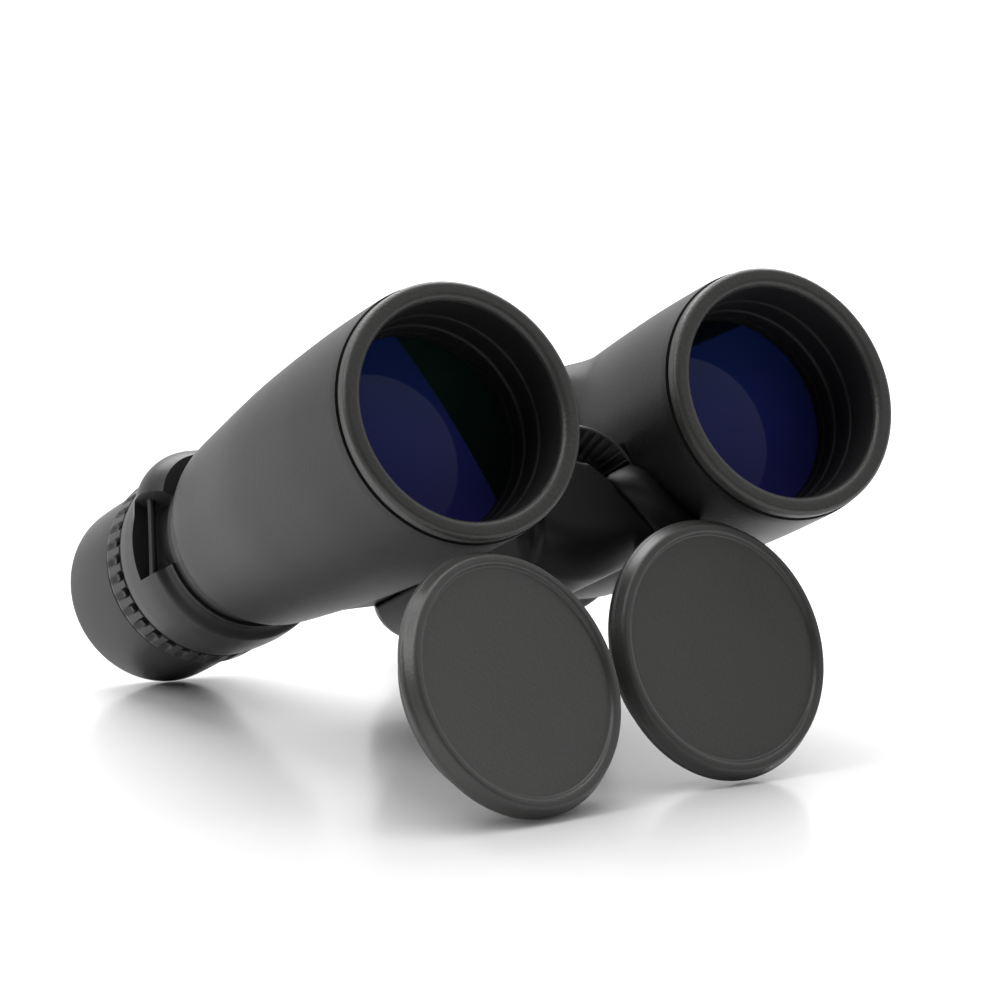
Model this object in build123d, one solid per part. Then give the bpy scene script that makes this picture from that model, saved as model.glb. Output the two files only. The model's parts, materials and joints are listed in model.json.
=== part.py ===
from build123d import *
import os
from math import atan2, cos, degrees, hypot, radians, sin

# A roof-prism binocular with its eyecups on the ground and its nose up, above two loose lens caps.
# The caps stand on the ground a little under 2 mm clear of it: no piece of it touches them.
# Everything is drawn in the "flat" frame: X across the barrels, Y from the objectives back to the
# eyepieces, Z across the barrel plane, origin midway between the two objective mouths.
# stand_up() then tips the finished pieces into the resting pose. Millimetres throughout.

# ---- driving dimensions -------------------------------------------------------------------------
barrel_spacing = 72.3          # between the two optical axes, widest setting of the hinge
half_spacing = barrel_spacing / 2
hinge_drop = 12.5              # the hinge line lies this far under the barrel plane
rest_tilt = 23.1               # barrels point up by this angle when standing
ring_radius = 25.0             # outside of the objective ring
mouth_radius = 21.3            # clear opening of the objective ring
tube_wall = 1.4
body_end = 90.0                # rear end of the barrel tube
eyecup_radius = 19.6
overall_length = 138.7
running_gap = 0.05             # radial gap of a running fit
free_gap = 0.4                 # clearance between parts that move past each other

arm_reach = hypot(half_spacing, hinge_drop)
arm_angle = degrees(atan2(hinge_drop, half_spacing))


def turned(points):
    """A solid turned about the Y axis from (radius, y) points."""
    return revolve(make_face(Polyline(*points, close=True)), Axis.Y, 360)


def ring(inner, outer, front, back):
    """A plain ring between two radii and two stations along the barrel."""
    return turned([(inner, front), (outer, front), (outer, back), (inner, back)])


def rod(radius, front, back):
    """A plain round bar along Y."""
    return Pos(0, (front + back) / 2, 0) * Rot(90, 0, 0) * Cylinder(radius, back - front)


def lens(radius, front, back, front_bulge, back_bulge):
    """A glass element with a spherical face at each end; a negative bulge is a hollow face."""
    front_half = front - front_bulge + sag(radius / 2, radius, front_bulge)
    back_half = back + back_bulge - sag(radius / 2, radius, back_bulge)
    outline = [
        ThreePointArc((0, front - front_bulge), (radius / 2, front_half), (radius, front)),
        Line((radius, front), (radius, back)),
        ThreePointArc((radius, back), (radius / 2, back_half), (0, back + back_bulge)),
        Line((0, back + back_bulge), (0, front - front_bulge)),
    ]
    return revolve(make_face(Wire(outline)), Axis.Y, 360)


def sag(height, radius, bulge):
    """Depth below the pole, at a height, of the sphere that rises by the bulge over the radius."""
    sphere = (radius ** 2 + bulge ** 2) / (2 * abs(bulge))
    depth = sphere - (sphere ** 2 - height ** 2) ** 0.5
    return depth if bulge > 0 else -depth


def on_barrel(side, shape):
    return Pos(side * half_spacing, 0, 0) * shape


def on_hinge(shape):
    return Pos(0, 0, -hinge_drop) * shape


def along_arm(side, width, start, stop, front, back):
    """A bar lying on the line from the hinge to the barrel axis."""
    bar = Box(stop - start, back - front, width)
    bar = Pos((start + stop) / 2, (front + back) / 2, 0) * bar
    turn = -arm_angle if side > 0 else arm_angle - 180
    return on_hinge(Rot(0, turn, 0) * bar)


# ---- barrel tube: straight over the objective, then tapering to the eyepiece ----------------------
taper_start = 35.0
tube_front = 2.4
tube_radius = 23.4
tube_end_radius = 18.0


def tube_outside(y):
    if y < taper_start:
        return tube_radius
    share = (y - taper_start) / (body_end - taper_start)
    return tube_radius + share * (tube_end_radius - tube_radius)


def tube_inside(y):
    return tube_outside(y) - tube_wall


tube_bore = turned([
    (0, tube_front), (tube_inside(0), tube_front), (tube_inside(0), taper_start),
    (tube_inside(body_end), body_end), (0, body_end),
])
tube_body = turned([
    (0, tube_front), (tube_radius, tube_front), (tube_radius, taper_start),
    (tube_end_radius, body_end), (0, body_end),
])

# ---- rubber armour --------------------------------------------------------------------------------
armour_front = 3.2
armour_back = 86.4
armour_outline = [
    Line((tube_radius, armour_front), (24.9, armour_front)),
    ThreePointArc((24.9, armour_front), (25.25, armour_front + 0.15), (25.4, armour_front + 0.5)),
    Spline(
        (25.4, armour_front + 0.5), (25.4, 20), (24.4, 45), (22.2, 69), (20.7, 82),
        tangents=[(0, 1), (-0.1, 1)],
    ),
    ThreePointArc((20.7, 82), (20.2, 84.9), (19.0, armour_back)),
    Line((19.0, armour_back), (tube_outside(armour_back), armour_back)),
    Line((tube_outside(armour_back), armour_back), (tube_radius, taper_start)),
    Line((tube_radius, taper_start), (tube_radius, armour_front)),
]
armour_skin = revolve(make_face(Wire(armour_outline)), Axis.Y, 360)
armour_solid = armour_skin + tube_body

# ---- hinge stations along the barrels -------------------------------------------------------------
nose_front = 18.8               # front face of the plates that shield the wheel
nose_back = 21.2
wheel_front = 21.8
wheel_back = 33.6
wheel_radius = 13.9
wheel_room = wheel_radius + 0.5
bridge_front = 35.0
bridge_back = 88.0
knuckle_radius = 9.0
pin_radius = 5.0
left_knuckles = [(bridge_front, 41.0), (64.4, 71.0), (79.8, bridge_back)]
right_knuckles = [(41.4, 46.6), (71.4, 79.4)]
knuckles = {-1: left_knuckles, 1: right_knuckles}
web = 9.0                      # thickness of the arm between a knuckle and its tube

# the carriage on the focus screw, and the travel of the focusing lenses
carriage_front = 49.6
carriage_back = 60.6
groove_front = 53.0
groove_back = 57.2
focus_travel = 2.5
blade = 3.0
blade_front = (groove_front + groove_back - blade) / 2
blade_back = blade_front + blade
focus_slot_front = blade_front - focus_travel - free_gap
focus_slot_back = blade_back + focus_travel + free_gap


def hinge_arms(side):
    bore = pin_radius + (running_gap if side > 0 else 0)
    arms = None
    for front, back in knuckles[side]:
        knuckle = on_hinge(rod(knuckle_radius, front, back))
        knuckle += along_arm(side, web, 0, arm_reach, front, back)
        knuckle -= on_barrel(side, tube_bore)
        knuckle -= on_hinge(rod(bore, front - 1, back + 1))
        arms = knuckle if arms is None else arms + knuckle
    return arms


def focus_slot(side, width=5.0):
    return along_arm(side, width, 0, arm_reach, focus_slot_front, focus_slot_back)


def barrel(side):
    body = on_barrel(side, tube_body - tube_bore) + hinge_arms(side)
    return body - focus_slot(side)


# ---- shoulder: the hollow housing that carries the barrel's shape across to the hinge --------------
shoulder_top = 20.3             # height of the top where the leaning wall starts
shoulder_crown = 19.2           # height of the top over the barrel axis
shoulder_top_inner = 14.6       # distance of that wall's top from the centre plane
shoulder_bottom = -19.4
hinge_clear = 13.2             # radius kept free around the hinge line
shoulder_wall = 1.8
wall_foot_angle = radians(66)   # where the leaning wall meets the room round the hinge
underside_angle = radians(-31)  # where the underside meets it


def shoulder_outline(side, inset=0.0):
    """Outline across the barrels: top, leaning wall, round the hinge, and the underside."""
    base = -hinge_drop
    reach = hinge_clear + inset
    top = shoulder_top - inset
    low = shoulder_bottom + inset
    wall_foot = (reach * cos(wall_foot_angle) + inset, base + reach * sin(wall_foot_angle))
    middle = (reach, base)
    under = (reach * cos(underside_angle), base + reach * sin(underside_angle))
    across = half_spacing
    edges = [
        Line((across, shoulder_crown - inset), (shoulder_top_inner + inset, top)),
        Line((shoulder_top_inner + inset, top), wall_foot),
        ThreePointArc(wall_foot, middle, under),
        Line(under, (across, low)),
        Line((across, low), (across, shoulder_crown - inset)),
    ]
    face = make_face(Wire(edges))
    return face if side > 0 else mirror(face, Plane.YZ)


def slab(face, front, back):
    """Push an outline drawn across the barrels from one station to another."""
    return Pos(0, back, 0) * Rot(90, 0, 0) * extrude(face, back - front)


def shoulder(side):
    shell = slab(shoulder_outline(side), bridge_front + 0.6, bridge_back)
    hollow = slab(
        shoulder_outline(side, shoulder_wall),
        bridge_front + 0.6 + shoulder_wall, bridge_back - shoulder_wall,
    )
    shell -= hollow
    shell -= on_barrel(side, armour_solid)
    if side > 0:
        shell += cheek()
    for front, back in knuckles[side]:
        shell -= along_arm(side, web, 0, arm_reach, front, back)
    return shell - focus_slot(side)


# ---- belly cover: the smooth underside plate between the barrels, fixed to the left half -----------
cover_radius = 12.6
cover_wall = 1.4
cover_half_width = 18.4
cover_bottom = -28.4


def wheel_pocket():
    """The round room in which the focus wheel turns."""
    return on_hinge(rod(wheel_room, nose_back, bridge_front - 0.4))


# the slanting edge where the left half's nose meets the right half's cheek, seen from the front:
# a shallow bow between two points, so everything left of it lies inside one large circle
edge_top = Vector(0.5, -7.0, 0)
edge_low = Vector(15.0, -26.0, 0)
edge_bow = 1.3
edge_gap = 0.5
edge_chord = (edge_low - edge_top).length
edge_radius = (edge_chord ** 2 / 4 + edge_bow ** 2) / (2 * edge_bow)
edge_way = (edge_low - edge_top).normalized()
edge_side = Vector(-edge_way.Y, edge_way.X, 0)
edge_centre = (edge_top + edge_low) * 0.5 - edge_side * (edge_radius - edge_bow)


def right_of_edge(gap):
    """Everything on the right half's side of the slanting edge, as an outline across the barrels."""
    return Rectangle(160, 160) - Pos(edge_centre.X, edge_centre.Y) * Circle(edge_radius + gap)


def belly_cover():
    rim_z = -19.6
    inside_z = -hinge_drop - cover_radius + cover_wall
    outer = [
        ThreePointArc((-cover_half_width, rim_z), (0, cover_bottom), (cover_half_width, rim_z)),
        Line((cover_half_width, rim_z), (cover_radius, rim_z + 5.2)),
        ThreePointArc((cover_radius, rim_z + 5.2), (0, inside_z), (-cover_radius, rim_z + 5.2)),
        Line((-cover_radius, rim_z + 5.2), (-cover_half_width, rim_z)),
    ]
    crescent = make_face(Wire(outer))
    plate = slab(crescent, nose_front, bridge_back)
    nose_corners = [(-14, -5.0), (2.0, -6.0), (16.0, -22.0), (0, -26), (-18, -19.6)]
    plate += slab(make_face(Polyline(*nose_corners, close=True)), nose_front, nose_back)
    plate -= slab(right_of_edge(0), nose_front - 1, bridge_front - 1)
    plate -= wheel_pocket()
    for station, size in ((nose_front - 1.4, 6.4), (bridge_back + 1.0, 11.0)):
        plate -= Pos(0, station, cover_bottom) * Rot(45, 0, 0) * Box(60, size, size)
    barrel_room = turned([(0, 0), (26.0, 0), (26.0, 40), (21.6, 95), (0, 95)])
    for side in (-1, 1):
        plate -= on_barrel(side, barrel_room)
        plate -= slab(shoulder_room(side), bridge_front - 1, bridge_back + 1)
    return plate


def cheek():
    """The right half's share of the front: a plate beside the nose that runs back into the shoulder."""
    top_angle = radians(22)
    near = (3.0 * cos(top_angle), -hinge_drop + 3.0 * sin(top_angle))
    far = (20.0 * cos(top_angle), -hinge_drop + 20.0 * sin(top_angle))
    corners = [near, far, (half_spacing, 0), (27.0, -24.2), (17.0, -24.0)]
    outline = make_face(Polyline(*corners, close=True)) & right_of_edge(edge_gap)
    body = slab(outline, nose_front, bridge_front + 1.0)
    body -= wheel_pocket()
    body -= on_hinge(rod(hinge_clear, nose_back, bridge_front + 2))
    cover_corners = [(0, -12.0), (12.0, -13.4), (19.4, -18.9), (24, -30), (0, -30)]
    body -= slab(make_face(Polyline(*cover_corners, close=True)), bridge_front - 1.6, bridge_front + 2)
    return body - on_barrel(1, armour_solid)


def armour(side):
    """The barrel's rubber skin, opened for the hinge arms, the focus arm and the wheel."""
    skin = on_barrel(side, armour_skin) - hinge_arms(side) - focus_slot(side, 6.0) - wheel_pocket()
    for front, back in knuckles[side]:
        skin -= along_arm(side, web, 0, arm_reach, front, back)
    return skin


def shoulder_room(side):
    """The shoulder's outline swollen a little, so the cover stays clear of it."""
    reach = hinge_clear - 0.5
    under = (reach * cos(underside_angle), -hinge_drop + reach * sin(underside_angle) - 0.6)
    points = [under, (half_spacing, shoulder_bottom - 0.6), (half_spacing, 0), (reach, 0)]
    face = make_face(Polyline(*points, close=True))
    return face if side > 0 else mirror(face, Plane.YZ)


# ---- objective end ----------------------------------------------------------------------------------
spigot_back = 9.0
retainer_front = 17.6
retainer_back = 19.6
lens_radius = 21.0
cell_back = 31.0


def objective_parts(side):
    bore = tube_inside(0)
    parts = {}
    face_ring = turned([
        (mouth_radius, 0.5), (mouth_radius + 0.5, 0), (ring_radius - 0.4, 0), (ring_radius, 0.4),
        (ring_radius, 2.2), (bore, 2.4), (bore, spigot_back), (mouth_radius, spigot_back),
    ])
    parts["objective_ring"] = face_ring
    parts["light_baffle"] = turned([
        (20.9, spigot_back), (bore, spigot_back), (bore, retainer_front), (20.5, retainer_front),
        (20.5, 13.5), (20.9, 13.5),
    ])
    parts["lens_retainer"] = ring(20.0, bore, retainer_front, retainer_back)
    parts["objective_cell"] = ring(lens_radius, bore, retainer_back, cell_back)
    parts["objective_front_lens"] = lens(lens_radius, retainer_back + 0.4, 24.0, 1.7, 1.5)
    parts["objective_rear_lens"] = lens(lens_radius, 26.0, cell_back, -0.4, 0.6)
    return parts


# ---- focusing lens on its sliding cell --------------------------------------------------------------
guide_front = 46.6
guide_back = 63.6
focus_cell_radius = 14.0
guide_radius = focus_cell_radius + running_gap


def focus_parts(side):
    guide = turned([
        (guide_radius, guide_front), (tube_inside(guide_front), guide_front),
        (tube_inside(guide_front + 1.5), guide_front + 1.5), (guide_radius + 1.4, guide_front + 1.5),
        (guide_radius + 1.4, guide_back), (guide_radius, guide_back),
    ])
    guide = on_barrel(side, guide) - focus_slot(side)
    cell_front = blade_front - 1.5
    cell_back_end = blade_back + 1.5
    cell = on_barrel(side, ring(12.0, focus_cell_radius, cell_front, cell_back_end))
    arm = along_arm(side, 4.0, 4.5, arm_reach - 13.0, blade_front, blade_back)
    glass = on_barrel(side, lens(12.0, blade_front - 0.4, blade_back + 0.4, -0.9, -0.9))
    return {"focus_guide": guide, "focus_cell": cell + arm, "focus_lens": glass}


# ---- prisms ------------------------------------------------------------------------------------------
prism_front = 64.0
prism_back = 86.0
prism_side = 17.0


def prism_parts():
    """A Schmidt roof prism behind a half-penta prism, held in one cradle."""
    half_width = prism_side / 2
    front_block = make_face(Polyline(
        (-half_width, prism_front), (half_width, prism_front), (half_width, 71.0), (-half_width, 73.6),
        close=True,
    ))
    rear_block = make_face(Polyline(
        (-half_width, 74.4), (half_width, 71.8), (half_width, 79.0), (0, prism_back), (-half_width, 79.0),
        close=True,
    ))
    front_glass = Pos(0, 0, -half_width) * extrude(front_block, prism_side)
    rear_glass = Pos(0, 0, -half_width) * extrude(rear_block, prism_side)
    pocket = Pos(0, (prism_front + 80) / 2, 0) * Box(prism_side, 80 - prism_front, prism_side)
    frame = turned([
        (0, prism_front), (tube_inside(prism_front), prism_front),
        (tube_inside(prism_front + 3), prism_front + 3), (14.2, prism_front + 3), (14.2, 79), (0, 79),
    ])
    frame -= pocket
    return {"half_penta_prism": front_glass, "roof_prism": rear_glass, "prism_cradle": frame}


# ---- eyepiece end --------------------------------------------------------------------------------------
sleeve_radius = 16.5
sleeve_bore = 14.6
eye_lens_radius = 12.4
band_front = 94.6
band_back = 109.0
band_radius = 20.9
grip_front = 109.4
grip_back = 116.4
grip_radius = 20.3
cup_front = 117.4
collar_back = 126.0
pocket_front = body_end + 1.4
pocket_back = 102.0
pocket_turn = 9.0              # the pocket's middle lies this many degrees above the barrel plane
pocket_height = 16.0
bar_radius = 0.8
bar_reach = 18.2


def eyepiece_tube():
    return turned([
        (sleeve_bore, body_end), (tube_end_radius, body_end), (tube_end_radius, body_end + 1.4),
        (sleeve_radius, body_end + 1.4), (sleeve_radius, 128.0), (eye_lens_radius, 128.0),
        (eye_lens_radius, 117.0), (sleeve_bore, 117.0),
    ])


def strap_band(side):
    """The band behind the barrel, swollen on its outer side into the strap lug, with its pocket."""
    outline = [
        Line((sleeve_radius, body_end + 1.4), (18.7, body_end + 1.4)),
        Line((18.7, body_end + 1.4), (18.9, band_front - 0.6)),
        ThreePointArc((18.9, band_front - 0.6), (19.9, band_front - 0.1), (20.5, band_front + 0.8)),
        Spline((20.5, band_front + 0.8), (band_radius, 100.5), (20.7, 106), (20.4, band_back)),
        Line((20.4, band_back), (sleeve_radius, band_back)),
        Line((sleeve_radius, band_back), (sleeve_radius, body_end + 1.4)),
    ]
    band = revolve(make_face(Wire(outline)), Axis.Y, 360)
    lug_back = band_back - 0.4
    lug = Pos(8.3, 98.0, 8.6) * Sphere(11.0)
    lug &= Pos(0, (pocket_front + lug_back) / 2, 0) * Box(60, lug_back - pocket_front, 60)
    lug -= rod(sleeve_radius + 1, pocket_front - 1, band_back + 1)
    band += lug
    pocket_middle = (pocket_front + pocket_back) / 2
    pocket = Pos(sleeve_radius + 5, pocket_middle, 0) * Box(20, pocket_back - pocket_front, pocket_height)
    band -= Rot(0, -pocket_turn, 0) * pocket
    band -= strap_bar()
    return band if side > 0 else mirror(band, Plane.YZ)


def strap_bar():
    """The bar that the neck strap loops round, set across the pocket."""
    bar = Pos(bar_reach, 98.2, 0) * Cylinder(bar_radius, pocket_height + 0.6)
    return Rot(0, -pocket_turn, 0) * bar


def grip_ring():
    body = ring(sleeve_radius + free_gap, grip_radius - 0.7, grip_front, grip_back)
    body += ring(sleeve_radius + 2, grip_radius, grip_front + 3.4, grip_back - 0.6)
    bead_count = 36
    for index in range(bead_count):
        bead = Pos(grip_radius - 1.3, grip_front + 2.1, 0) * Rot(0, 90, 0) * Cylinder(0.95, 3.0)
        body += Rot(0, index * 360 / bead_count, 0) * bead
    return body


def eyecup():
    rubber_cup = [
        Line((18.9, cup_front), (19.3, cup_front)),
        ThreePointArc((19.3, cup_front), (19.5, cup_front + 0.1), (eyecup_radius, cup_front + 0.4)),
        Line((eyecup_radius, cup_front + 0.4), (eyecup_radius, overall_length - 3.4)),
        ThreePointArc(
            (eyecup_radius, overall_length - 3.4), (18.6, overall_length - 1.0), (16.2, overall_length),
        ),
        Line((16.2, overall_length), (14.6, overall_length)),
        ThreePointArc((14.6, overall_length), (13.4, overall_length - 0.7), (13.0, overall_length - 2.0)),
        Line((13.0, overall_length - 2.0), (13.0, 129.4)),
        Line((13.0, 129.4), (18.9, 129.4)),
        Line((18.9, 129.4), (18.9, cup_front)),
    ]
    return revolve(make_face(Wire(rubber_cup)), Axis.Y, 360)


def eyepiece_parts(side):
    parts = {}
    parts["eyepiece_tube"] = eyepiece_tube()
    parts["ocular_cell"] = ring(12.0, sleeve_bore - free_gap, 98.0, 112.0)
    parts["field_lens"] = lens(12.0, 99.5, 104.0, 0.4, 1.4)
    parts["eye_lens"] = lens(eye_lens_radius, 120.0, 125.0, 1.2, 0.9)
    parts["eyecup_collar"] = ring(sleeve_radius + running_gap, 17.9, cup_front, collar_back)
    parts["eyecup_sleeve"] = ring(18.3, 18.9, cup_front, 129.4)
    parts["eyecup_rubber"] = eyecup()
    return parts


# ---- hinge and focus drive ------------------------------------------------------------------------------
spindle_radius = 2.5
core_radius = 9.6
funnel_depth = 6.0
funnel_mouth = wheel_radius - 0.8


def focus_wheel():
    """A turned core with a deep dished face."""
    return turned([
        (spindle_radius, wheel_front + funnel_depth - 0.6),
        (core_radius - 0.6, wheel_front + funnel_depth - 0.6), (core_radius, wheel_front + funnel_depth),
        (core_radius, wheel_back), (spindle_radius, wheel_back),
    ])


def wheel_grip():
    """Rubber tyre of the wheel: a smooth rim round a funnel with flutes running down it."""
    tyre = turned([
        (core_radius, wheel_front + funnel_depth), (funnel_mouth, wheel_front),
        (wheel_radius - 0.3, wheel_front), (wheel_radius, wheel_front + 0.5),
        (wheel_radius - 0.8, wheel_back - 0.4), (core_radius, wheel_back - 0.4),
    ])
    flute_count = 40
    flute_inset = 0.5
    slope_length = hypot(funnel_depth, funnel_mouth - core_radius)
    slope_angle = degrees(atan2(funnel_mouth - core_radius, funnel_depth))
    flute = Rot(0, 0, slope_angle) * Pos(0, slope_length / 2 + flute_inset, 0) * Box(1.5, slope_length, 0.9)
    flute = Pos(funnel_mouth, wheel_front, 0) * flute
    for index in range(flute_count):
        tyre -= Rot(0, index * 360 / flute_count, 0) * flute
    return tyre


def hinge_parts():
    parts = {}
    parts["focus_wheel"] = focus_wheel()
    parts["wheel_grip"] = wheel_grip()
    parts["focus_screw"] = rod(spindle_radius, wheel_front + 4.0, 62.6)
    parts["focus_carriage"] = turned([
        (spindle_radius + running_gap, carriage_front), (7.2, carriage_front), (7.2, groove_front),
        (4.0, groove_front), (4.0, groove_back), (7.2, groove_back), (7.2, carriage_back),
        (spindle_radius + running_gap, carriage_back),
    ])
    parts["hinge_bush"] = ring(spindle_radius + running_gap, pin_radius, bridge_front, 46.6)
    parts["hinge_pin"] = rod(pin_radius, 63.6, bridge_back)
    parts["hinge_end_cap"] = rod(8.2, bridge_back, bridge_back + 1.6)
    return {name: on_hinge(shape) for name, shape in parts.items()}


# ---- loose lens caps -------------------------------------------------------------------------------------
cap_face_radius = 24.2
cap_flange_radius = 25.3
cap_recess_radius = 22.1
cap_step = 2.7
plug_radius = 21.1             # presses into the objective ring's mouth
plug_bore = 19.4


def lens_cap():
    """A press-in cap seen from outside: rim, dished centre, flange, and a plug ring behind."""
    return turned([
        (0, 1.0), (cap_recess_radius, 1.0), (cap_recess_radius + 0.7, 0.15), (cap_recess_radius + 1.1, 0),
        (cap_face_radius - 0.4, 0), (cap_face_radius, 0.35), (cap_flange_radius - 0.5, cap_step - 0.5),
        (cap_flange_radius, cap_step), (cap_flange_radius, cap_step + 0.9),
        (cap_flange_radius - 0.4, cap_step + 1.3), (plug_radius, cap_step + 1.3), (plug_radius, cap_step + 6.4),
        (plug_radius - 0.5, cap_step + 6.9), (plug_bore, cap_step + 6.9), (plug_bore, cap_step + 0.4),
        (0, cap_step + 0.4),
    ])


# where each cap stands: across, along, lean back from upright, turn toward +X
cap_stands = {"left": (-36.9, -22.4, 25.4, 11.4), "right": (14.6, -13.2, 20.8, 6.2)}

# ---- assembly ------------------------------------------------------------------------------------------------
nodes = {}
for side, word in ((-1, "left"), (1, "right")):
    nodes["barrel_" + word] = barrel(side)
    nodes["armour_" + word] = armour(side)
    nodes["shoulder_" + word] = shoulder(side)
    for name, shape in focus_parts(side).items():
        nodes[name + "_" + word] = shape
    for maker in (objective_parts(side), prism_parts(), eyepiece_parts(side)):
        for name, shape in maker.items():
            nodes[name + "_" + word] = on_barrel(side, shape)
    nodes["strap_band_" + word] = on_barrel(side, strap_band(side))
    bar = strap_bar() if side > 0 else mirror(strap_bar(), Plane.YZ)
    nodes["strap_bar_" + word] = on_barrel(side, bar)
nodes["dioptre_ring_left"] = on_barrel(-1, grip_ring())
nodes["grip_ring_right"] = on_barrel(1, grip_ring())
nodes["belly_cover"] = belly_cover()
nodes.update(hinge_parts())


def stand_up(shape):
    return Rot(-rest_tilt, 0, 0) * shape


nodes = {name: stand_up(shape) for name, shape in nodes.items()}
floor_level = min(shape.bounding_box().min.Z for shape in nodes.values())
mouth_height = -floor_level
nodes = {name: Pos(0, 0, mouth_height) * shape for name, shape in nodes.items()}

for word, (across, along, lean, turn) in cap_stands.items():
    cap = Rot(0, 0, turn) * Rot(-lean, 0, 0) * lens_cap()
    lowest = cap.bounding_box().min.Z
    nodes["lens_cap_" + word] = Pos(across, along, -lowest) * cap

# the origin goes to the middle of the footprint, on the floor
boxes = [shape.bounding_box() for shape in nodes.values()]
middle_x = (min(box.min.X for box in boxes) + max(box.max.X for box in boxes)) / 2
middle_y = (min(box.min.Y for box in boxes) + max(box.max.Y for box in boxes)) / 2
os.makedirs("parts", exist_ok=True)
for name, shape in nodes.items():
    placed = Pos(-middle_x, -middle_y, 0) * shape
    export_step(placed, "parts/" + name + ".step")
print("mouth midpoint", round(-middle_x, 3), round(-middle_y, 3), round(mouth_height, 3))
print(len(nodes), "pieces")
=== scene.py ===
"""Looks for the binoculars: refined outer pieces, materials, floor, light and camera."""
import json
from math import atan2, cos, exp, hypot, pi, radians, sin

import bpy
from mathutils import Matrix, Vector


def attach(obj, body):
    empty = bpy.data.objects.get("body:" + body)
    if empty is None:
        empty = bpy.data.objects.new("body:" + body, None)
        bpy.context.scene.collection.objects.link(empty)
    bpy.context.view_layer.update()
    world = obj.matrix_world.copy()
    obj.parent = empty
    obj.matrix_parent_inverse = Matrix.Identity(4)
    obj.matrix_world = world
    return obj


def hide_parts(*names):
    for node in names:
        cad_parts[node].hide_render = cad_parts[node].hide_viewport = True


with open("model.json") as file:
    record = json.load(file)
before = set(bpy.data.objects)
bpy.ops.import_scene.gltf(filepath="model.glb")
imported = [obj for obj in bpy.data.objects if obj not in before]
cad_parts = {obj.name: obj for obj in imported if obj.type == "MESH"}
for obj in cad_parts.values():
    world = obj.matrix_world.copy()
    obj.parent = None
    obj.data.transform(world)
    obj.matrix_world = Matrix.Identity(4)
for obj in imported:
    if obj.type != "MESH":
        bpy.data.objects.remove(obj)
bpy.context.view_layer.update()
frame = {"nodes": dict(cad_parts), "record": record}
nodes = frame["nodes"]
mounts = {mount["name"]: mount for mount in frame["record"]["mounts"]}

# ---- the binocular's own frame, in millimetres --------------------------------------------------
# x across the barrels, y back along them from the mouths, z across the barrel plane.
mouth_left = mounts["objective_mouth_left"]
mouth_right = mounts["objective_mouth_right"]
toward_mouth = Vector(mouth_left["axis"]).normalized()
mouth_depth = 5.0
mouth_middle = (Vector(mouth_left["pos_m"]) + Vector(mouth_right["pos_m"])) / 2
mouth_middle += toward_mouth * mouth_depth / 1000
half_spacing = (Vector(mouth_right["pos_m"]) - Vector(mouth_left["pos_m"])).length * 500
across = Vector((1, 0, 0))
backward = -toward_mouth
normal = across.cross(backward)
hinge_drop = 12.5


def frame_matrix(centre, x_axis, y_axis, z_axis):
    """Millimetres in a local frame to metres in the row frame."""
    turn = Matrix((x_axis, y_axis, z_axis)).transposed().to_4x4()
    return Matrix.Translation(centre) @ turn @ Matrix.Scale(0.001, 4)


whole = frame_matrix(mouth_middle, across, backward, normal)


def barrel_frame(side):
    """The binocular's frame moved onto one barrel's axis; side is -1 for left, 1 for right."""
    return whole @ Matrix.Translation((side * half_spacing, 0, 0))


hinge_frame = whole @ Matrix.Translation((0, 0, -hinge_drop))
words = {-1: "left", 1: "right"}


# ---- mesh helpers -------------------------------------------------------------------------------
def piece(name, points, faces, matrix, material, body, smooth=True, sharp=35):
    """One named mesh object, in the row frame, riding on a body."""
    mesh = bpy.data.meshes.new(name)
    flip = matrix.to_3x3().determinant() < 0
    mesh.from_pydata([matrix @ Vector(point) for point in points], [], faces)
    if flip:
        mesh.flip_normals()
    mesh.materials.append(material)
    mesh.validate()
    mesh.update()
    if smooth:
        mesh.shade_smooth()
        mesh.set_sharp_from_angle(angle=radians(sharp))
    made = bpy.data.objects.new(name, mesh)
    bpy.context.scene.collection.objects.link(made)
    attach(made, body)
    return made


def grid_faces(rows, columns, close_rows=False):
    """Quads of a grid whose columns close into a ring."""
    faces = []
    last = rows if close_rows else rows - 1
    for row in range(last):
        for column in range(columns):
            beside = (column + 1) % columns
            below = (row + 1) % rows
            faces.append((
                row * columns + column, row * columns + beside,
                below * columns + beside, below * columns + column,
            ))
    return faces


def rounded(corners, steps=5):
    """A closed profile of (radius, y, rounding) corners as a list of (radius, y) points."""
    points = []
    count = len(corners)
    for index, (r, y, size) in enumerate(corners):
        before = Vector(corners[index - 1][:2])
        here = Vector((r, y))
        after = Vector(corners[(index + 1) % count][:2])
        if size == 0:
            points.append((r, y))
            continue
        into = (before - here)
        away = (after - here)
        reach = min(size, into.length * 0.49, away.length * 0.49)
        start = here + into.normalized() * reach
        end = here + away.normalized() * reach
        for step in range(steps + 1):
            t = step / steps
            point = start * (1 - t) ** 2 + here * 2 * t * (1 - t) + end * t ** 2
            points.append((point.x, point.y))
    return points


def lathe(name, corners, matrix, material, body, segments=160, sharp=35):
    """A turned piece from a closed profile; corners on the axis close it there."""
    profile = rounded(corners)
    points = []
    for r, y in profile:
        r = max(r, 0.001)
        for column in range(segments):
            angle = 2 * pi * column / segments
            points.append((r * cos(angle), y, r * sin(angle)))
    faces = grid_faces(len(profile), segments, close_rows=True)
    return piece(name, points, faces, matrix, material, body, sharp=sharp)


def ease(low, high, value):
    """0 below low, 1 above high, smooth between."""
    t = min(1.0, max(0.0, (value - low) / (high - low)))
    return t * t * (3 - 2 * t)


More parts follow.
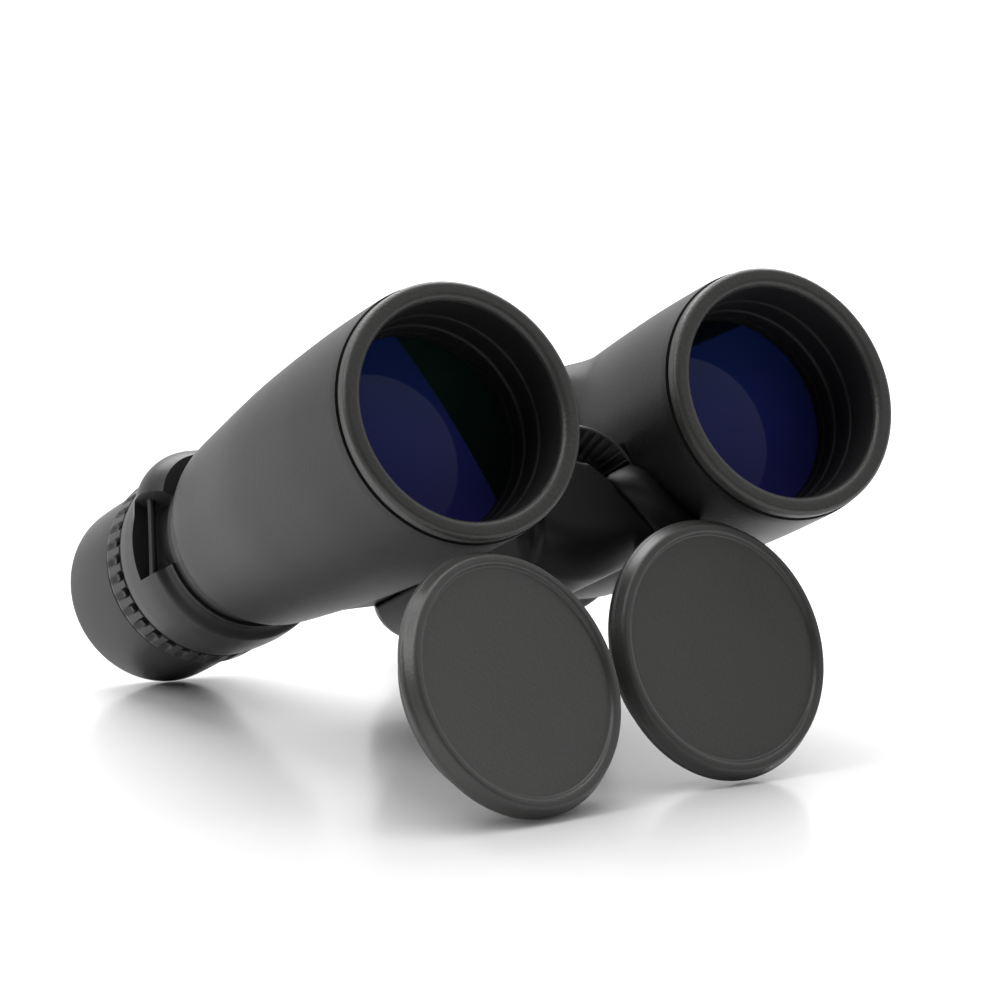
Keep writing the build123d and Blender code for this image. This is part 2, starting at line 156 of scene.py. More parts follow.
def between(stations, value):
    """Smooth curve through (station, value) pairs."""
    if value <= stations[0][0]:
        return stations[0][1]
    for index in range(len(stations) - 1):
        (a, va), (b, vb) = stations[index], stations[index + 1]
        if value <= b:
            before = stations[max(0, index - 1)]
            after = stations[min(len(stations) - 1, index + 2)]
            slope_a = (vb - before[1]) / (b - before[0])
            slope_b = (after[1] - va) / (after[0] - a)
            t = (value - a) / (b - a)
            span = b - a
            return (
                va * (1 + 2 * t) * (1 - t) ** 2 + slope_a * span * t * (1 - t) ** 2
                + vb * t * t * (3 - 2 * t) + slope_b * span * t * t * (t - 1)
            )
    return stations[-1][1]


# ---- materials ----------------------------------------------------------------------------------
def material(
    name, colour, rough, bump=0.0, grain=900.0, metallic=0.0, shine=0.5, mottling=0.12, scuff=0.06,
):
    """A moulded or painted surface: fine grain in the bump, slow mottling in colour and gloss."""
    made = bpy.data.materials.new(name)
    made.use_nodes = True
    tree = made.node_tree
    shader = tree.nodes["Principled BSDF"]
    shader.inputs["Metallic"].default_value = metallic
    shader.inputs["Specular IOR Level"].default_value = shine
    place = tree.nodes.new("ShaderNodeTexCoord")
    cloud = tree.nodes.new("ShaderNodeTexNoise")
    cloud.inputs["Scale"].default_value = 38.0
    cloud.inputs["Detail"].default_value = 5.0
    tree.links.new(place.outputs["Object"], cloud.inputs["Vector"])
    shade = tree.nodes.new("ShaderNodeMix")
    shade.data_type = "RGBA"
    dark = [channel * (1 - mottling) for channel in colour]
    light = [channel * (1 + mottling) for channel in colour]
    shade.inputs[6].default_value = (*dark, 1)
    shade.inputs[7].default_value = (*light, 1)
    tree.links.new(cloud.outputs["Fac"], shade.inputs[0])
    tree.links.new(shade.outputs[2], shader.inputs["Base Color"])
    gloss = tree.nodes.new("ShaderNodeMapRange")
    gloss.inputs["To Min"].default_value = rough - scuff
    gloss.inputs["To Max"].default_value = rough + scuff
    tree.links.new(cloud.outputs["Fac"], gloss.inputs["Value"])
    tree.links.new(gloss.outputs["Result"], shader.inputs["Roughness"])
    if bump:
        pores = tree.nodes.new("ShaderNodeTexNoise")
        pores.inputs["Scale"].default_value = grain
        pores.inputs["Detail"].default_value = 3.0
        tree.links.new(place.outputs["Object"], pores.inputs["Vector"])
        relief = tree.nodes.new("ShaderNodeBump")
        relief.inputs["Strength"].default_value = bump
        relief.inputs["Distance"].default_value = 0.0004
        tree.links.new(pores.outputs["Fac"], relief.inputs["Height"])
        tree.links.new(relief.outputs["Normal"], shader.inputs["Normal"])
    return made


rubber = material("armour_rubber", (0.0125, 0.0125, 0.0127), 0.42, bump=0.10, grain=1500, shine=0.27)
wheel_rubber = material("wheel_rubber", (0.075, 0.075, 0.073), 0.32, bump=0.08, grain=1500)
ring_face = material("ring_plastic", (0.030, 0.0295, 0.028), 0.40, bump=0.25, grain=1800)
cap_plastic = material("cap_plastic", (0.041, 0.041, 0.0393), 0.38, bump=0.12, grain=1400)
housing = material("housing_plastic", (0.02, 0.02, 0.021), 0.48, bump=0.15, grain=1200)
black_metal = material("black_metal", (0.003, 0.003, 0.003), 0.6, bump=0.1, grain=1500)
steel = material("axle_steel", (0.030, 0.030, 0.031), 0.40, metallic=0.6, bump=0.05, grain=600)
brass = material("drive_brass", (0.55, 0.40, 0.17), 0.3, metallic=1.0, bump=0.05, grain=600)
smooth_rubber = material("smooth_rubber", (0.014, 0.0143, 0.0143), 0.38, bump=0.05, grain=1800, shine=0.3)


def coated_glass(name, near, far):
    """A dark lens seen into: the coating throws back a colour that drifts across the face."""
    made = bpy.data.materials.new(name)
    made.use_nodes = True
    tree = made.node_tree
    shader = tree.nodes["Principled BSDF"]
    shader.inputs["Roughness"].default_value = 0.03
    shader.inputs["IOR"].default_value = 1.6
    shader.inputs["Metallic"].default_value = 0.0
    place = tree.nodes.new("ShaderNodeTexCoord")
    drift = tree.nodes.new("ShaderNodeTexNoise")
    drift.inputs["Scale"].default_value = 22.0
    drift.inputs["Detail"].default_value = 1.0
    tree.links.new(place.outputs["Object"], drift.inputs["Vector"])
    facing = tree.nodes.new("ShaderNodeLayerWeight")
    facing.inputs["Blend"].default_value = 0.35
    blend = tree.nodes.new("ShaderNodeMath")
    blend.operation = "ADD"
    tree.links.new(facing.outputs["Facing"], blend.inputs[0])
    scale = tree.nodes.new("ShaderNodeMath")
    scale.operation = "MULTIPLY"
    scale.inputs[1].default_value = 0.35
    tree.links.new(drift.outputs["Fac"], scale.inputs[0])
    tree.links.new(scale.outputs[0], blend.inputs[1])
    tint = tree.nodes.new("ShaderNodeValToRGB")
    tint.color_ramp.elements[0].color = (*near, 1)
    tint.color_ramp.elements[1].color = (*far, 1)
    tree.links.new(blend.outputs[0], tint.inputs["Fac"])
    tree.links.new(tint.outputs["Color"], shader.inputs["Specular Tint"])
    shader.inputs["Base Color"].default_value = (0.004, 0.006, 0.010, 1)
    shader.inputs["Specular IOR Level"].default_value = 1.0
    return made


lens_blue = coated_glass("lens_coating", (0.05, 0.09, 0.50), (0.10, 0.07, 0.42))
clear_glass = coated_glass("inner_glass", (0.3, 0.5, 0.5), (0.4, 0.3, 0.6))


def paint_lens_reflection(name, centre, split, way, shades):
    """The front glass with a painted reflection: one colour up to a straight split, another past it, both
    drifting slowly and shifting with height.

    split is the distance of the dividing line from the centre in millimetres, way the direction it faces.
    """
    made = bpy.data.materials.new(name)
    made.use_nodes = True
    tree = made.node_tree
    shader = tree.nodes["Principled BSDF"]
    shader.inputs["Roughness"].default_value = 0.04
    shader.inputs["IOR"].default_value = 1.5
    shader.inputs["Specular IOR Level"].default_value = 0.16
    place = tree.nodes.new("ShaderNodeTexCoord")
    local = tree.nodes.new("ShaderNodeVectorMath")
    local.operation = "SUBTRACT"
    local.inputs[1].default_value = centre
    tree.links.new(place.outputs["Object"], local.inputs[0])
    drift = tree.nodes.new("ShaderNodeTexNoise")
    drift.inputs["Scale"].default_value = 45.0
    drift.inputs["Detail"].default_value = 2.0
    tree.links.new(local.outputs["Vector"], drift.inputs["Vector"])
    along = tree.nodes.new("ShaderNodeVectorMath")
    along.operation = "DOT_PRODUCT"
    along.inputs[1].default_value = way
    tree.links.new(local.outputs["Vector"], along.inputs[0])
    edge = tree.nodes.new("ShaderNodeMapRange")
    edge.interpolation_type = "SMOOTHSTEP"
    edge.inputs["From Min"].default_value = split / 1000 - 0.0003
    edge.inputs["From Max"].default_value = split / 1000 + 0.0003
    tree.links.new(along.outputs["Value"], edge.inputs["Value"])
    # painted reflection shading: the colour shifts with height across the lens
    upward = tree.nodes.new("ShaderNodeVectorMath")
    upward.operation = "DOT_PRODUCT"
    upward.inputs[1].default_value = normal
    tree.links.new(local.outputs["Vector"], upward.inputs[0])
    height = tree.nodes.new("ShaderNodeMapRange")
    height.inputs["From Min"].default_value = -0.02
    height.inputs["From Max"].default_value = 0.02
    tree.links.new(upward.outputs["Value"], height.inputs["Value"])
    mixed = tree.nodes.new("ShaderNodeMath")
    mixed.operation = "MULTIPLY_ADD"
    mixed.inputs[1].default_value = 0.5
    tree.links.new(drift.outputs["Fac"], mixed.inputs[0])
    tree.links.new(height.outputs["Result"], mixed.inputs[2])
    tints = []
    for low, high in shades:
        tint = tree.nodes.new("ShaderNodeValToRGB")
        tint.color_ramp.elements[0].position = 0.2
        tint.color_ramp.elements[0].color = (*low, 1)
        tint.color_ramp.elements[1].position = 1.2
        tint.color_ramp.elements[1].color = (*high, 1)
        tree.links.new(mixed.outputs["Value"], tint.inputs["Fac"])
        tints.append(tint)
    # the two painted reflection colours meet at the straight split
    whole_face = tree.nodes.new("ShaderNodeMix")
    whole_face.data_type = "RGBA"
    tree.links.new(edge.outputs["Result"], whole_face.inputs[0])
    tree.links.new(tints[0].outputs["Color"], whole_face.inputs[6])
    tree.links.new(tints[1].outputs["Color"], whole_face.inputs[7])
    tree.links.new(whole_face.outputs[2], shader.inputs["Base Color"])
    return made


# painted reflection colours for the front lenses: a blue one, a dark one, and a near-black painted shadow of
# the ring at the top of the right lens
painted_blue_reflection = ((0.036, 0.030, 0.22), (0.011, 0.026, 0.14))
painted_dark_reflection = ((0.004, 0.006, 0.006), (0.005, 0.016, 0.013))
painted_ring_shadow = ((0.002, 0.003, 0.006), (0.003, 0.005, 0.010))


def plane_direction(x, z):
    """A direction in the plane of the lens, from its share across and its share upward."""
    return (across * x + normal * z).normalized()


lens_station = 19.0
lens_centres = {side: barrel_frame(side) @ Vector((0, lens_station, 0)) for side in (-1, 1)}
# where the painted reflection's two colours meet: distance of the line from the lens centre, and the way it
# faces; on the right lens the part past the line is a painted ring shadow
left_split = 8.5
left_split_way = plane_direction(0.91, 0.414)
right_split = 16.0
right_split_way = plane_direction(-0.30, 0.953)
# each front lens gets its own painted reflection material
lens_reflection_paints = {
    -1: paint_lens_reflection(
        "lens_painted_reflection_left", lens_centres[-1], left_split, left_split_way, (painted_blue_reflection, painted_dark_reflection)),
    1: paint_lens_reflection(
        "lens_painted_reflection_right", lens_centres[1], right_split, right_split_way, (painted_blue_reflection, painted_ring_shadow)),
}

slot_materials = {
    "armour_rubber": rubber, "ring_plastic": ring_face, "housing_plastic": housing,
    "cap_plastic": cap_plastic, "black_metal": black_metal, "coated_glass": lens_blue,
    "optical_glass": clear_glass, "axle_steel": steel, "drive_brass": brass,
}
for entry in frame["record"]["subparts"]:
    carried = nodes[entry["node"]]
    carried.data.materials.clear()
    carried.data.materials.append(slot_materials[entry["material_slot"]])


# ---- armour: barrel skin that flows into the shoulder toward the hinge --------------------------
armour_front = 3.2
armour_back = 86.4
tube_radius = 23.4
armour_seat = 18.4             # inside of the armour's rear end
barrel_profile = [
    (armour_front, 25.3), (5, 25.4), (20, 25.35), (30, 25.05), (40, 24.6), (50, 24.0), (60, 23.1),
    (70, 22.05), (78, 21.2), (82, 20.7), (84.6, 20.1), (86.0, 19.3), (armour_back, 18.7),
]
shoulder_corners = [
    (0.0, 20.0), (-19.0, 20.0), (-23.5, 17.6), (-31.2, 0.5), (-30.6, -2.0), (-24.6, -8.6),
    (-23.8, -13.0), (-26.0, -18.6), (-22.5, -19.0), (0.0, -19.2),
]


def shoulder_reach(angle):
    """Distance from the barrel axis to the shoulder's outline; 0 where there is none."""
    dx, dz = cos(angle), sin(angle)
    best = 0.0
    for (ax, az), (bx, bz) in zip(shoulder_corners, shoulder_corners[1:]):
        ex, ez = bx - ax, bz - az
        cross = dx * ez - dz * ex
        if abs(cross) < 1e-9:
            continue
        along = (ax * ez - az * ex) / cross
        share = (ax * dz - az * dx) / cross
        if along > 0 and 0 <= share <= 1:
            best = max(best, along)
    return best


def softened_reach(angle, spread=0.09):
    """The outline with its corners rounded off."""
    total = weight_sum = 0.0
    for step in range(-4, 5):
        weight = exp(-(step / 2.2) ** 2)
        total += weight * shoulder_reach(angle + step * spread / 4)
        weight_sum += weight
    return total / weight_sum


arm_reach = hypot(half_spacing, hinge_drop)
arm_angle = pi + atan2(hinge_drop, half_spacing)
wheel_front = 21.8
wheel_back = 33.6
wheel_radius = 13.9
wheel_room = wheel_radius + 0.5
pocket_front = 21.2
pocket_back = 34.6


def clear_of_wheel(angle, r):
    """Shortens a radius so that the armour stays out of the wheel's pocket."""
    along = arm_reach * cos(angle - arm_angle)
    aside = arm_reach * sin(angle - arm_angle)
    if along < 0 or abs(aside) >= wheel_room:
        return r
    return min(r, along - (wheel_room ** 2 - aside ** 2) ** 0.5)


def circle(side, radius, y, columns):
    """A ring of points round the barrel axis."""
    turns = [2 * pi * column / columns for column in range(columns)]
    return [(side * radius * cos(turn), y, radius * sin(turn)) for turn in turns]


def armour(side):
    """The rubber skin: round at both ends, swelling into the shoulder between them."""
    rows = 150
    columns = 260
    flow = 0.8                  # how softly the shoulder leaves the barrel
    reaches = []
    for column in range(columns):
        reaches.append(softened_reach(2 * pi * column / columns))
    points = []
    for row in range(rows):
        y = armour_front + (armour_back - armour_front) * row / (rows - 1)
        skin = between(barrel_profile, y)
        rise = ease(35.4, 48, y) * (1 - ease(79, armour_back, y))
        for column in range(columns):
            angle = 2 * pi * column / columns
            gain = max(0.0, reaches[column] - skin + flow)
            gain = gain * gain / (gain + flow)
            r = skin + gain * rise
            if pocket_front < y < pocket_back:
                r = clear_of_wheel(angle, r)
            points.append((side * r * cos(angle), y, r * sin(angle)))
    front = circle(side, tube_radius, armour_front, columns)
    back = circle(side, armour_seat, armour_back, columns)
    points = front + points + back
    faces = grid_faces(rows + 2, columns)
    if side < 0:
        faces = [tuple(reversed(face)) for face in faces]
    made = piece("armour_" + words[side] + "_skin", points, faces, barrel_frame(side), rubber,
                 words[side] + "_half", sharp=50)
    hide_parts("armour_" + words[side], "shoulder_" + words[side])
    return made


# ---- turned pieces of each barrel ---------------------------------------------------------------
mouth_radius = 21.3
ring_radius = 25.0


def objective_end(side):
    """The ring screwed into the front of the barrel, and the stepped baffle behind it."""
    word = words[side]
    place = barrel_frame(side)
    body = word + "_half"
    ring = lathe("objective_ring_" + word + "_turned", [
        (mouth_radius, 1.0, 0.3), (21.8, 0.25, 0.3), (22.4, 0, 0.4), (24.3, 0, 0.45),
        (ring_radius, 0.7, 0.4), (ring_radius, 2.7, 0.2), (23.7, 2.75, 0.1), (23.6, 2.3, 0.1),
        (22.0, 2.4, 0), (22.0, 9.0, 0), (21.5, 9.0, 0), (mouth_radius, 2.0, 0),
    ], place, ring_face, body)
    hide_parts("objective_ring_" + word)
    baffle = lathe("light_baffle_" + word + "_stepped", [
        (21.25, 1.7, 0), (21.45, 1.7, 0), (22.0, 9.0, 0), (22.0, 17.5, 0),
        (20.3, 17.5, 0.2), (20.3, 14.4, 0.3), (20.75, 13.9, 0.3), (20.75, 9.4, 0.3), (21.1, 8.9, 0.3),
    ], place, black_metal, body)
    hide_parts("light_baffle_" + word)


# ---- eyepiece end: strap band with its lug and pocket, knurled ring, eyecup ---------------------
band_profile = [
    (91.5, 18.7), (94.0, 18.85), (94.7, 19.6), (95.3, 20.4), (96.4, 20.65), (100.5, 20.9),
    (106, 20.7), (109, 20.4),
]
lug_station = 98.0
lug_radius = 11.0
lug_reach = hypot(8.3, 8.6)
lug_angle = atan2(8.6, 8.3)
strap_pocket_back = 102.0
strap_pocket_floor = 16.65
strap_pocket_top = radians(31.6)
strap_pocket_low = radians(-13.6)


def band_radius(angle, y):
    """Outside of the strap band: a drum that swells into the lug above the pocket."""
    r = between(band_profile, y)
    aside = angle - lug_angle
    room = lug_radius ** 2 - (y - lug_station) ** 2 - (lug_reach * sin(aside)) ** 2
    if room > 0 and cos(aside) > 0:
        gain = max(0.0, lug_reach * cos(aside) + room ** 0.5 - r + 1.0)
        r += gain * gain / (gain + 1.0)
    if y < strap_pocket_back and strap_pocket_low < angle < strap_pocket_top:
        r = strap_pocket_floor
    return r


def with_edges(low, high, count, edges, width):
    """Evenly spaced stations, with close pairs at each sharp edge."""
    values = [low + (high - low) * step / (count - 1) for step in range(count)]
    for edge in edges:
        values = [value for value in values if abs(value - edge) > width * 3]
        values += [edge - width * 2, edge - width / 2, edge + width / 2, edge + width * 2]
    return sorted(values)


def swept_ring(name, radius_at, angles, stations, inner, place, paint, body, side):
    """A ring whose outside follows a radius that depends on angle and station."""
    columns = len(angles)
    points = []
    for y in [stations[0]] + stations + [stations[-1]]:
        for angle in angles:
            r = radius_at(angle, y)
            points.append((side * r * cos(angle), y, r * sin(angle)))
    for row in (0, len(stations) + 1):
        y = points[row * columns][1]
        for column, angle in enumerate(angles):
            points[row * columns + column] = (side * inner * cos(angle), y, inner * sin(angle))
    faces = grid_faces(len(stations) + 2, columns, close_rows=True)
    if side < 0:
        faces = [tuple(reversed(face)) for face in faces]
    return piece(name, points, faces, place, paint, body, sharp=40)


def grip_radius(angle, y):
    """The knurled ring: ribs side by side, with a deep hole between them at the front."""
    ribs = 36
    phase = abs((angle * ribs / (2 * pi)) % 1.0 - 0.5)
    between_ribs = 1 - ease(0.14, 0.30, phase)
    front_hole = ease(109.7, 110.0, y) * (1 - ease(111.6, 112.2, y))
    rear_slope = ease(109.7, 110.0, y) * (1 - ease(113.0, 115.4, y))
    lip = 0.5 * ease(115.6, 116.3, y) + 0.5 * (1 - ease(109.4, 109.8, y))
    return 20.45 - between_ribs * (1.7 * front_hole + 0.55 * rear_slope) - lip


band_bore = 16.7
grip_bore = 17.2
eyecup_radius = 19.6
eyecup_bore = 13.0
eyecup_seat = 18.9
eyecup_end = 138.7


def eyepiece_end(side):
    """The strap band, the ribbed ring and the eyecup of one side."""
    word = words[side]
    place = barrel_frame(side)
    angles = with_edges(-pi, pi - 2 * pi / 200, 200, [strap_pocket_low, strap_pocket_top], 0.008)
    stations = with_edges(91.5, 109.0, 60, [strap_pocket_back], 0.12)
    band = swept_ring(
        "strap_band_" + word + "_moulded", band_radius, angles, stations, band_bore, place, smooth_rubber,
        word + "_half", side)
    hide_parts("strap_band_" + word)
    angles = [2 * pi * column / 720 for column in range(720)]
    stations = [
        109.4, 109.6, 109.8, 110.0, 110.3, 111.0, 111.6, 111.9, 112.2, 112.7, 113.4, 114.2, 115, 115.6, 116,
        116.35,
    ]
    node = "dioptre_ring_left" if side < 0 else "grip_ring_right"
    grip = swept_ring(
        node + "_ribbed", grip_radius, angles, stations, grip_bore, place, smooth_rubber,
        "dioptre_control" if side < 0 else "right_half", side)
    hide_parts(node)
    cup = lathe("eyecup_rubber_" + word + "_moulded", [
        (eyecup_seat, 117.4, 0), (eyecup_radius, 117.5, 0.35), (eyecup_radius, 131, 0),
        (19.5, 137.0, 3.4), (17.6, eyecup_end, 2.2), (13.9, eyecup_end, 1.6),
        (eyecup_bore, 135.5, 1.2), (eyecup_bore, 129.4, 0.3), (eyecup_seat, 129.4, 0),
    ], place, smooth_rubber, "cup_" + word)
    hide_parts("eyecup_rubber_" + word)


# ---- lenses seen from outside -------------------------------------------------------------------
def front_lens(side):
    """The big front element, bulging forward."""
    word = words[side]
    edge = 21.0
    thick = 4.0
    bulge = 1.7
    front = 20.0
    steps = 14
    corners = []
    for step in range(steps + 1):
        share = step / steps
        corners.append((edge * step / steps, front - bulge * (1 - share ** 2), 0))
    corners += [(edge, front + thick, 0), (0, front + thick + 0.8, 0)]
    made = lathe("objective_front_lens_" + word + "_polished", corners, barrel_frame(side), lens_reflection_paints[side],
                 word + "_half", sharp=30)
    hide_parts("objective_front_lens_" + word)


# ---- the focus wheel's tyre ---------------------------------------------------------------------
def wheel_tyre():
    """The ribbed rubber of the focus wheel; its front is a funnel, and the grooves run down into it."""
    ribs = 40
    per_rib = 14
    columns = ribs * per_rib
    funnel_depth = 6.0
    mouth = wheel_radius - 0.8
    core = 9.6
    steps = 6
    slope = hypot(funnel_depth, mouth - core)
    groove = 1.25
    # stations from the back of the rim, over the front edge, down the funnel: (r, y, share of the groove)
    stations = [
        (core, wheel_back - 0.4, 0), (wheel_radius - 1.4, wheel_back - 0.4, 0),
        (wheel_radius - 0.9, wheel_back - 0.7, 0),
        (wheel_radius - 0.7, wheel_back - 1.4, 0), (wheel_radius - 0.1, wheel_front + 1.5, 0),
        (wheel_radius, wheel_front + 0.5, 0), (wheel_radius - 0.25, wheel_front + 0.05, 0),
        (wheel_radius - 0.6, wheel_front, 0), (mouth, wheel_front + 0.3, 0),
    ]
    for step in range(steps + 1):
        share = 0.06 + 0.94 * step / steps
        depth = wheel_front + 0.3 + (funnel_depth - 0.3) * share
        stations.append((mouth - (mouth - core) * share, depth, 1))
    stations.append((core - 0.2, wheel_front + funnel_depth + 0.6, 0))
    out_r = funnel_depth / slope
    out_y = (mouth - core) / slope
    points = []
    for r, y, share in stations:
        for column in range(columns):
            phase = (column % per_rib) / per_rib
            valley = ease(0.14, 0.34, phase) * (1 - ease(0.80, 1.0, phase))
            deep = groove * valley * share
            angle = 2 * pi * column / columns
            reach = r + deep * out_r
            points.append((reach * cos(angle), y + deep * out_y, reach * sin(angle)))
    faces = grid_faces(len(stations), columns, close_rows=True)
    made = piece("wheel_grip_ribbed", points, faces, hinge_frame, wheel_rubber, "wheel", sharp=60)
    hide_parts("wheel_grip")


# ---- nose and belly: the smooth cover under the hinge, on the left half -------------------------
nose_front = 18.8
cover_back = 88.0
wing_front = 34.2
cover_half_width = 18.4
cover_rim = -19.6
cover_bottom = -28.4
arc_radius = (cover_half_width ** 2 + (cover_rim - cover_bottom) ** 2) / (2 * (cover_rim - cover_bottom))
edge_top = Vector((0.5, -7.0))
edge_low = Vector((15.0, -26.0))
edge_bow = 1.3
edge_length = (edge_low - edge_top).length
edge_way = (edge_low - edge_top) / edge_length
edge_side = Vector((-edge_way.y, edge_way.x))
edge_radius = (edge_length ** 2 / 4 + edge_bow ** 2) / (2 * edge_bow)
edge_centre = (edge_top + edge_low) / 2 - edge_side * (edge_radius - edge_bow)


def belly_level(x):
    """Height of the cover's gently curved underside."""
    return cover_bottom + arc_radius - (arc_radius ** 2 - x * x) ** 0.5


def edge_level(x):
    """Height of the slanting, slightly bowed edge between nose and cheek."""
    return edge_centre.y + (edge_radius ** 2 - (x - edge_centre.x) ** 2) ** 0.5


def nose_top(x):
    """Upper boundary of the nose seen from the front: round the left barrel, across, down the edge."""
    from_barrel = x + half_spacing
    keep = 26.2
    level = -(keep ** 2 - from_barrel ** 2) ** 0.5 if from_barrel < keep else 0.0
    return min(level, -5.2 - 1.8 * ease(-6, 0.5, x), edge_level(x) if x > edge_top.x else 0.0)


def rear_turn(x, steps=8, size=9.0):
    """The cover's rear end rolls up to the shoulders' underside, and its corners are rounded off."""
    low = belly_level(x)
    size = min(size, cover_rim + 0.9 - low)
    back = cover_back - 11.0 * (abs(x) / cover_half_width) ** 4
    line = []
    for step in range(steps):
        turn = pi / 2 * step / steps
        line.append((back - size + size * cos(turn), low + size - size * sin(turn)))
    return line


def strip(name, columns_of_points, thickness, body):
    """A sheet from columns of points, given a wall thickness inward."""
    width = len(columns_of_points[0])
    points = [point for line in columns_of_points for point in line]
    faces = []
    for column in range(len(columns_of_points) - 1):
        for row in range(width - 1):
            corner = column * width + row
            faces.append((corner, corner + width, corner + width + 1, corner + 1))
    made = piece(name, points, faces, whole, rubber, body, sharp=50)
    wall = made.modifiers.new("wall", "SOLIDIFY")
    wall.thickness = thickness / 1000
    wall.offset = -1
    return made


def belly():
    """The cover: rolled rear, underside, rounded nose, and a lip turned back at the top; then its wing."""
    roll = 9.0
    lip = 1.1
    limit = 14.1
    first = -18.2
    columns = 90
    roll_steps = 18
    front_steps = 12
    lip_steps = 6
    lines = []
    for column in range(columns):
        x = first + (limit - first) * column / (columns - 1)
        low, high = belly_level(x), nose_top(x)
        front = nose_front + 0.9 * (1 - ease(-12.6, -11.8, x))
        size = min(roll, max(0.5, (high - low) * 0.8))
        line = rear_turn(x)
        for step in range(roll_steps + 1):
            turn = pi / 2 * step / roll_steps
            line.append((front + size - size * sin(turn), low + size - size * cos(turn)))
        start = low + size
        end = max(start + 0.05, high - lip)
        for step in range(1, front_steps):
            line.append((front, start + (end - start) * step / front_steps))
        for step in range(lip_steps + 1):
            turn = pi / 2 * step / lip_steps
            line.append((front + lip - lip * cos(turn), end + lip * sin(turn)))
        line.append((front + 2.5, end + lip))
        lines.append([(x, y, z) for y, z in line])
    made = strip("belly_cover_moulded", lines, 1.1, "left_half")
    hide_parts("belly_cover")
    wing_columns = 14
    lines = []
    for column in range(wing_columns):
        x = limit + (cover_half_width - 0.2 - limit) * column / (wing_columns - 1)
        low = belly_level(x)
        line = rear_turn(x)
        line += [(wing_front + 1.2, low), (wing_front + 0.4, low + 0.3), (wing_front, low + 0.9)]
        line.append((wing_front, max(low + 1.0, cover_rim + 0.2)))
        lines.append([(x, y, z) for y, z in line])
    strip("belly_cover_wing", lines, 1.0, "left_half")


def cheek():
    """The right half's fairing beside the nose: it swells from the slanting edge, then sinks."""
    gap = 0.5
    rows = 34
    columns = 30
    seat = 25.1
    lines = []
    for row in range(rows):
        share = row / (rows - 1)
        run = 5.4 + (edge_length - 1.6 - 5.4) * share
        bow = edge_bow * 4 * run * (edge_length - run) / edge_length ** 2
        start = edge_top + edge_way * run + edge_side * (gap + bow)
        angle = radians(198.5 + 39.5 * share)
        stop = Vector((half_spacing + seat * cos(angle), seat * sin(angle)))
        top_turn = 2.4 * (1 - ease(0, 0.22, share)) ** 1.5
        line = [(start.x, nose_front + 4.0, start.y), (start.x, nose_front + 1.1 + top_turn, start.y)]
        for column in range(columns):
            t = column / (columns - 1)
            place = start.lerp(stop, t)
            lip = 1.1 * (1 - min(1.0, t * 14)) ** 2
            swell = 1.9 * sin(pi * min(1.0, t * 1.02)) ** 1.3 if t < 0.98 else 0.0
            sink = 2.2 * ease(0.72, 1.0, t)
            y = nose_front + 0.3 + lip - swell * ease(0, 0.4, share) + sink + top_turn
            line.append((place.x, y, place.y))
        lines.append(list(reversed(line)))
    strip("shoulder_right_cheek", lines, 1.8, "right_half")


# ---- loose caps ---------------------------------------------------------------------------------
# where each cap stands: across, along, lean back from upright, turn toward +X
cap_stands = {"left": (-36.9, -22.4, 25.4, 11.4), "right": (14.6, -13.2, 20.8, 6.2)}
cap_flange_radius = 25.3
cap_flange_back = 3.6
plug_radius = 21.1
plug_bore = 19.4
cap_profile = [
    (0, 1.0, 0), (21.9, 1.0, 0.3), (22.3, 0.2, 0.3), (22.8, 0.0, 0.3), (23.8, 0.0, 0.5),
    (24.2, 0.5, 0.4), (24.9, 2.2, 0.3), (cap_flange_radius, 2.7, 0.3),
    (cap_flange_radius, cap_flange_back, 0.3), (24.9, 4.0, 0.2), (plug_radius, 4.0, 0.3),
    (plug_radius, 9.1, 0.3), (20.6, 9.6, 0.3), (plug_bore, 9.6, 0.3), (plug_bore, 3.1, 0.3), (0, 3.1, 0),
]


def lens_cap(word):
    """A press-in cap standing on its rim, clear of the binocular."""
    x, y, lean, turn = cap_stands[word]
    tip = radians(lean)
    lowest = min(-back * sin(tip) - r * cos(tip) for r, back, _ in cap_profile)
    lowest = max(lowest, -cap_flange_radius * cos(tip) - cap_flange_back * sin(tip))
    centre = Vector((mouth_middle.x + x / 1000, mouth_middle.y + y / 1000, -lowest / 1000))
    swing = Matrix.Rotation(radians(turn), 4, "Z") @ Matrix.Rotation(-tip, 4, "X")
    place = Matrix.Translation(centre) @ swing @ Matrix.Scale(0.001, 4)
    made = lathe(
        "lens_cap_" + word + "_moulded", cap_profile, place, cap_plastic, "cap_" + word, segments=200)
    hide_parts("lens_cap_" + word)


for side in (-1, 1):
    armour(side)
    objective_end(side)
    front_lens(side)
    eyepiece_end(side)
    lens_cap(words[side])
wheel_tyre()
belly()
cheek()

# ---- floor, light and camera --------------------------------------------------------------------
floor_mesh = bpy.data.meshes.new("floor")
floor_half = 6.0
floor_mesh.from_pydata(
    [(-floor_half, -floor_half, 0), (floor_half, -floor_half, 0), (floor_half, floor_half, 0),
     (-floor_half, floor_half, 0)], [], [(0, 1, 2, 3)])
floor = bpy.data.objects.new("floor", floor_mesh)
bpy.context.scene.collection.objects.link(floor)
floor.location.z = -0.0002
floor_material = material("floor_gloss", (0.86, 0.86, 0.86), 0.18, mottling=0.01, scuff=0.03)
floor_mesh.materials.append(floor_material)

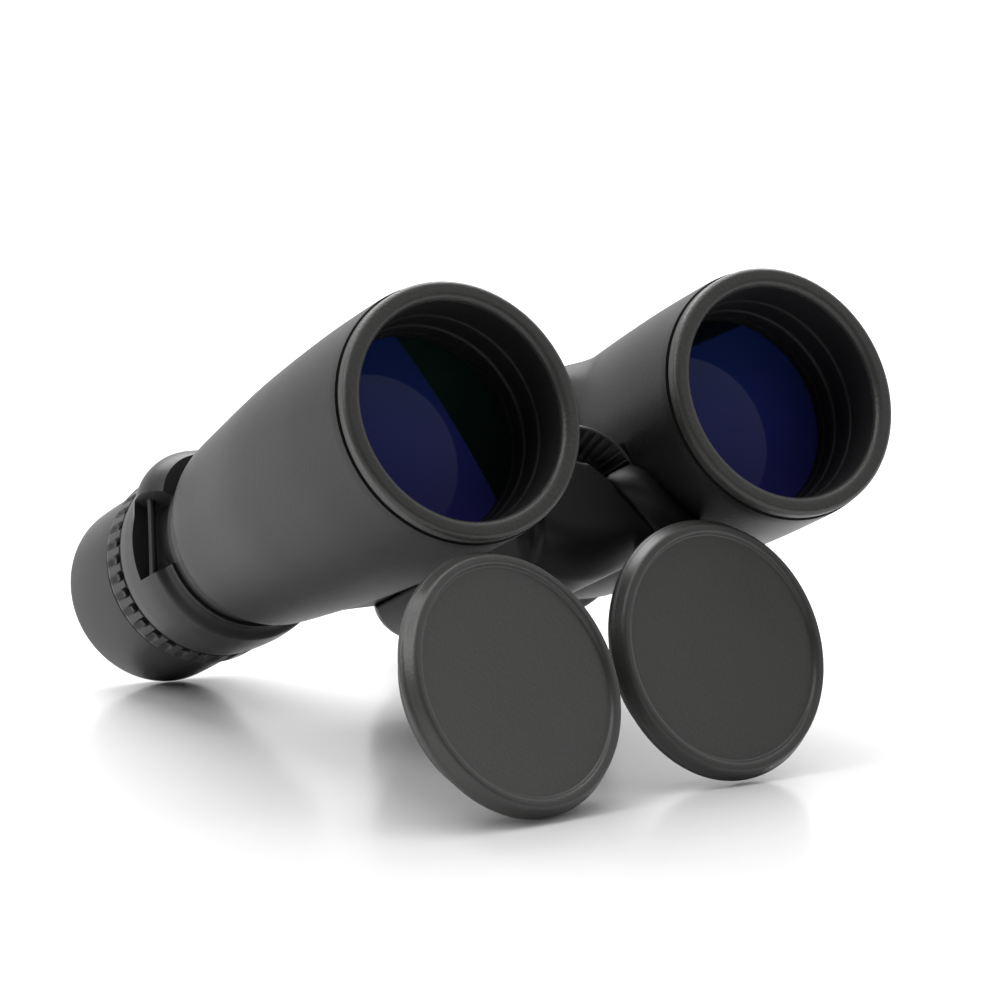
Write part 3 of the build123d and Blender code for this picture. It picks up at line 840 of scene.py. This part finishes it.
world = bpy.data.worlds.new("studio")
world.use_nodes = True
sky = world.node_tree
direction = sky.nodes.new("ShaderNodeTexCoord")
facing = sky.nodes.new("ShaderNodeVectorMath")
facing.operation = "DOT_PRODUCT"
facing.inputs[1].default_value = (0.40, 0.70, 0.60)
sky.links.new(direction.outputs["Generated"], facing.inputs[0])
fade = sky.nodes.new("ShaderNodeMapRange")
fade.inputs["From Min"].default_value = -0.35
fade.inputs["From Max"].default_value = 0.5
fade.inputs["To Min"].default_value = 0.05
fade.inputs["To Max"].default_value = 1.05
sky.links.new(facing.outputs["Value"], fade.inputs["Value"])
sky.links.new(fade.outputs["Result"], sky.nodes["Background"].inputs["Strength"])
sky.nodes["Background"].inputs["Color"].default_value = (1, 1, 1, 1)
bpy.context.scene.world = world


def softbox(name, position, target, width, height, watts):
    """A rectangular studio light aimed at a target."""
    light = bpy.data.lights.new(name, "AREA")
    light.shape = "RECTANGLE"
    light.size = width
    light.size_y = height
    light.energy = watts
    lamp = bpy.data.objects.new(name, light)
    bpy.context.scene.collection.objects.link(lamp)
    lamp.location = position
    lamp.rotation_euler = (Vector(target) - Vector(position)).to_track_quat("-Z", "Y").to_euler()
    return lamp


softbox("key", (-0.75, 0.10, 0.70), (0, 0, 0.05), 0.35, 0.8, 4.0)
softbox("top", (0.1, 0.25, 1.0), (0, 0, 0.03), 0.9, 0.7, 4.0)
softbox("backdrop", (0.9, 1.9, 1.6), (0.9, 2.2, 0), 3.0, 2.4, 120)

camera_data = bpy.data.cameras.new("photo_view")
camera_data.sensor_width = 36
camera_data.lens = 154.2
camera_data.clip_start = 0.05
camera = bpy.data.objects.new("photo_view", camera_data)
bpy.context.scene.collection.objects.link(camera)
heading = radians(31.5)
pitch = radians(8.41)
roll = radians(1.0)
forward = Vector((sin(heading) * cos(pitch), cos(heading) * cos(pitch), -sin(pitch)))
level = Vector((cos(heading), -sin(heading), 0))
upright = level.cross(forward)
right = level * cos(roll) + upright * sin(roll)
up = upright * cos(roll) - level * sin(roll)
camera_offset = Vector((-0.440, -0.672, 0.099))
camera_place = mouth_middle + camera_offset
camera_turn = Matrix((right, up, -forward)).transposed().to_4x4()
camera.matrix_world = Matrix.Translation(camera_place) @ camera_turn
bpy.context.scene.camera = camera
bpy.context.scene.view_settings.view_transform = "Standard"
